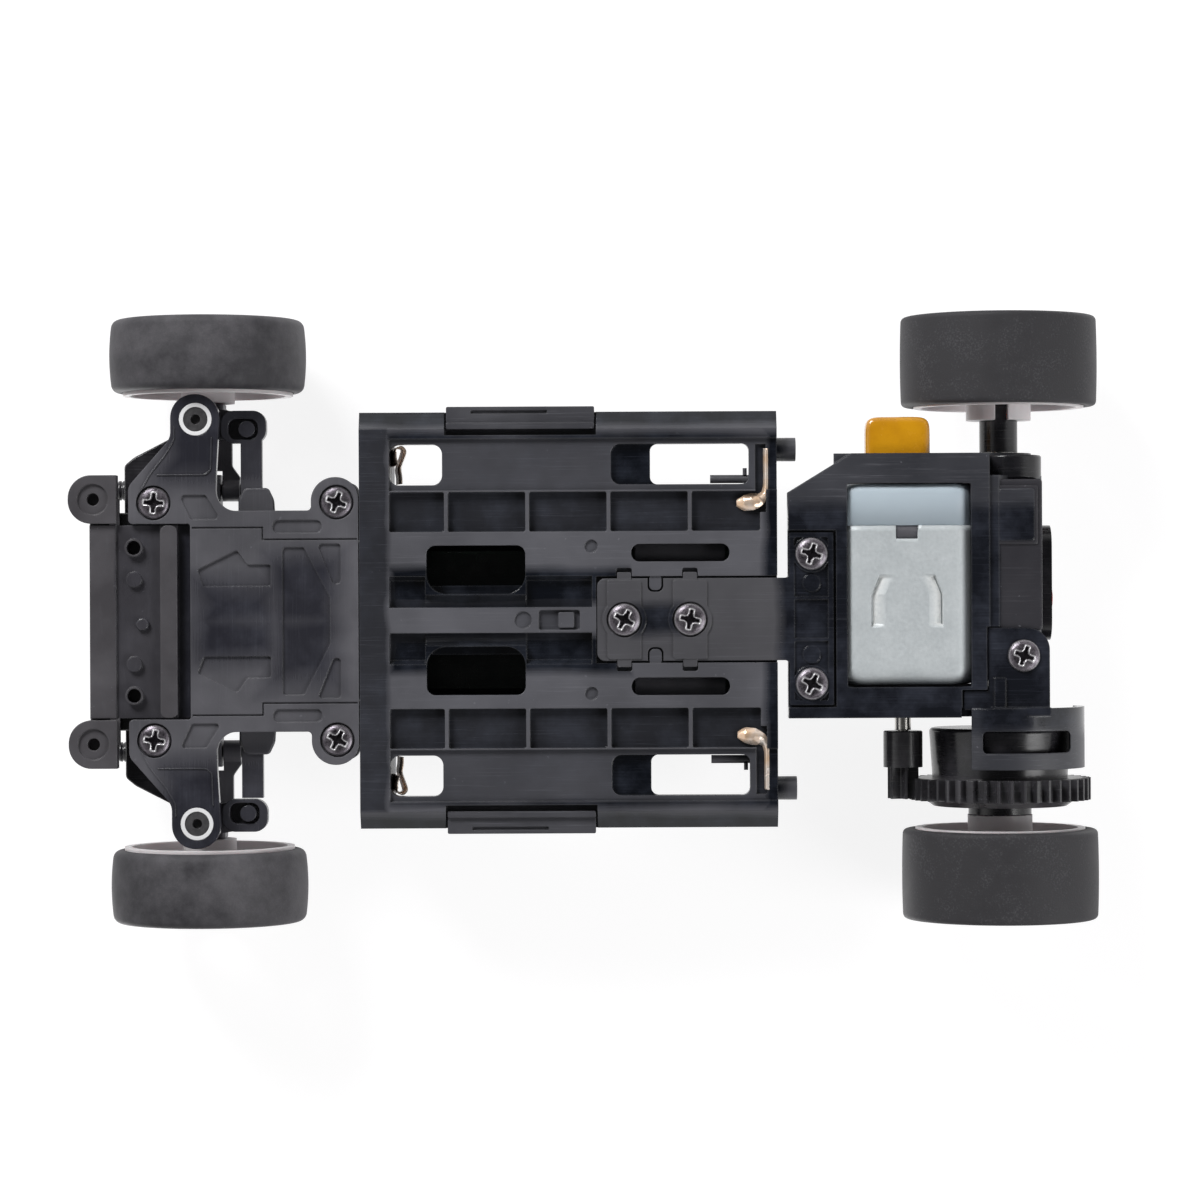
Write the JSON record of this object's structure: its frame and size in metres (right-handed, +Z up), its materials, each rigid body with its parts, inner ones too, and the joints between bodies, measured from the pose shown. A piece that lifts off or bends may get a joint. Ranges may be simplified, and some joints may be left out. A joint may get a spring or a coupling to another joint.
{
  "type": "drift car chassis",
  "caption": "Small radio-controlled drift car chassis: tub with cell bays, sprung steered front axle, flexing rear pod with geared motor, hard tyres.",
  "frame": {"origin": "on the ground under the middle of the car", "axes": "+X forward, +Y to the car's left, +Z up"},
  "size_m": [0.1263, 0.0746, 0.0243],
  "materials": {
    "chassis_plastic": "satin moulded nylon, near-black with a cool cast",
    "arm_plastic": "matte charcoal glass-filled plastic, finely brushed by wear",
    "bumper_plastic": "matte dark band, brownish charcoal",
    "tyre_rubber": "hard dusty rubber",
    "wheel_plastic": "off-white translucent nylon",
    "gear_plastic": "dark acetal",
    "can_steel": "zinc plated, slightly mottled",
    "bell_plastic": "pale blue-grey moulding",
    "screw_steel": "blackened, worn bright in the recess",
    "bright_steel": "polished steel",
    "kingpin_steel": "black steel pin",
    "ring_plastic": "bright white bush",
    "spring_steel": "spring wire",
    "contact_metal": "nickelled copper strip",
    "amber_plastic": "glossy amber dip coating",
    "adjuster_plastic": "small red cap",
    "board_green": "solder-masked laminate",
    "servo_plastic": "dark moulding",
    "white_gear": "white acetal gear"
  },
  "bodies": {
    "chassis": {"main_chassis": "chassis_plastic", "lower_arm_plate": "arm_plastic", "arm_plate_screws": "screw_steel", "front_bumper": "bumper_plastic", "kingpins": "kingpin_steel", "kingpin_rings": "ring_plastic", "upper_arm_left": "arm_plastic", "upper_arm_right": "arm_plastic", "upper_arm_pins": "kingpin_steel", "front_spring_left": "spring_steel", "front_spring_right": "spring_steel", "servo_gearbox": "servo_plastic", "servo_motor": "can_steel", "t_plate": "chassis_plastic", "t_plate_screws": "screw_steel", "front_contacts": "contact_metal", "rear_contacts": "contact_metal", "circuit_board": "board_green", "board_cover": "servo_plastic", "side_latch_left": "gear_plastic", "side_latch_right": "gear_plastic"},
    "slider_left": {"knuckle_bush_left": "gear_plastic"},
    "slider_right": {"knuckle_bush_right": "gear_plastic"},
    "steering_left": {"knuckle_left": "arm_plastic", "front_wheel_nut_left": "screw_steel"},
    "steering_right": {"knuckle_right": "arm_plastic", "front_wheel_nut_right": "screw_steel"},
    "front_wheel_left": {"front_rim_left": "wheel_plastic", "front_tyre_left": "tyre_rubber"},
    "front_wheel_right": {"front_rim_right": "wheel_plastic", "front_tyre_right": "tyre_rubber"},
    "steering_link": {"tie_rod": "arm_plastic"},
    "servo_output": {"servo_horn": "servo_plastic", "servo_output_gear": "white_gear"},
    "servo_input": {"servo_pinion": "white_gear"},
    "pod": {"motor_pod": "chassis_plastic", "pod_screws": "screw_steel", "motor_can": "can_steel", "motor_end_bell": "bell_plastic", "capacitor": "amber_plastic", "rear_bearings": "bright_steel", "gear_guard": "chassis_plastic", "gear_guard_screw": "screw_steel", "rear_plate": "gear_plastic", "rear_adjuster": "adjuster_plastic"},
    "rear_drive": {"rear_axle": "bright_steel", "left_axle_hub": "gear_plastic", "spur_gear": "gear_plastic", "spur_retainer": "gear_plastic", "rear_rim_left": "wheel_plastic", "rear_rim_right": "wheel_plastic", "rear_tyre_left": "tyre_rubber", "rear_tyre_right": "tyre_rubber", "rear_wheel_nut_left": "screw_steel", "rear_wheel_nut_right": "screw_steel"},
    "motor_shaft": {"motor_rotor": "bright_steel", "pinion_gear": "gear_plastic"}
  },
  "joints": [
    {"name": "suspension_left", "type": "slide", "parent": "chassis", "child": "slider_left", "axis": [0, 0, 1], "range_m": [0, 0.0008], "stiffness_N_per_m": 1000, "springref_m": -0.0005, "deforming": ["front_spring_left"]},
    {"name": "steer_left", "type": "hinge", "parent": "slider_left", "child": "steering_left", "pos_m": [0.0476, 0.0246, 0.01], "axis": [0, 0, 1], "range_deg": [-20, 20]},
    {"name": "front_wheel_left_spin", "type": "hinge", "parent": "steering_left", "child": "front_wheel_left", "pos_m": [0.047, 0.0325, 0.01215], "axis": [0, 1, 0], "continuous": true},
    {"name": "suspension_right", "type": "slide", "parent": "chassis", "child": "slider_right", "axis": [0, 0, 1], "range_m": [0, 0.0008], "stiffness_N_per_m": 1000, "springref_m": -0.0005, "deforming": ["front_spring_right"]},
    {"name": "steer_right", "type": "hinge", "parent": "slider_right", "child": "steering_right", "pos_m": [0.0476, -0.0246, 0.01], "axis": [0, 0, 1], "range_deg": [-20, 20]},
    {"name": "front_wheel_right_spin", "type": "hinge", "parent": "steering_right", "child": "front_wheel_right", "pos_m": [0.047, -0.0325, 0.01215], "axis": [0, 1, 0], "continuous": true},
    {"name": "tie_rod_slide", "type": "slide", "parent": "chassis", "child": "steering_link", "axis": [0, 1, 0], "range_m": [-0.0021, 0.0021]},
    {"name": "servo_turn", "type": "hinge", "parent": "chassis", "child": "servo_output", "pos_m": [0.0361, 0, 0.012], "axis": [0, 0, 1], "range_deg": [-24, 24]},
    {"name": "servo_pinion_turn", "type": "hinge", "parent": "chassis", "child": "servo_input", "pos_m": [0.0433, 0, 0.016], "axis": [0, 0, 1], "range_deg": [-168, 168]},
    {"name": "pod_roll", "type": "hinge", "parent": "chassis", "child": "pod", "pos_m": [-0.024, 0, 0.00335], "axis": [1, 0, 0], "range_deg": [-2.5, 2.5], "stiffness_Nm_per_rad": 0.6, "deforming": ["t_plate"]},
    {"name": "rear_axle_spin", "type": "hinge", "parent": "pod", "child": "rear_drive", "pos_m": [-0.051, 0, 0.01215], "axis": [0, 1, 0], "continuous": true},
    {"name": "motor_spin", "type": "hinge", "parent": "pod", "child": "motor_shaft", "pos_m": [-0.03886, 0, 0.0105], "axis": [0, 1, 0], "continuous": true}
  ],
  "couplings": [
    {"joint": "steer_right", "follows": "steer_left", "ratio": 1},
    {"joint": "tie_rod_slide", "follows": "steer_left", "m_per_rad": -0.00597},
    {"joint": "servo_turn", "follows": "steer_left", "ratio": -1.194},
    {"joint": "servo_pinion_turn", "follows": "steer_left", "ratio": 8.358},
    {"joint": "motor_spin", "follows": "rear_axle_spin", "ratio": -7.1667}
  ]
}
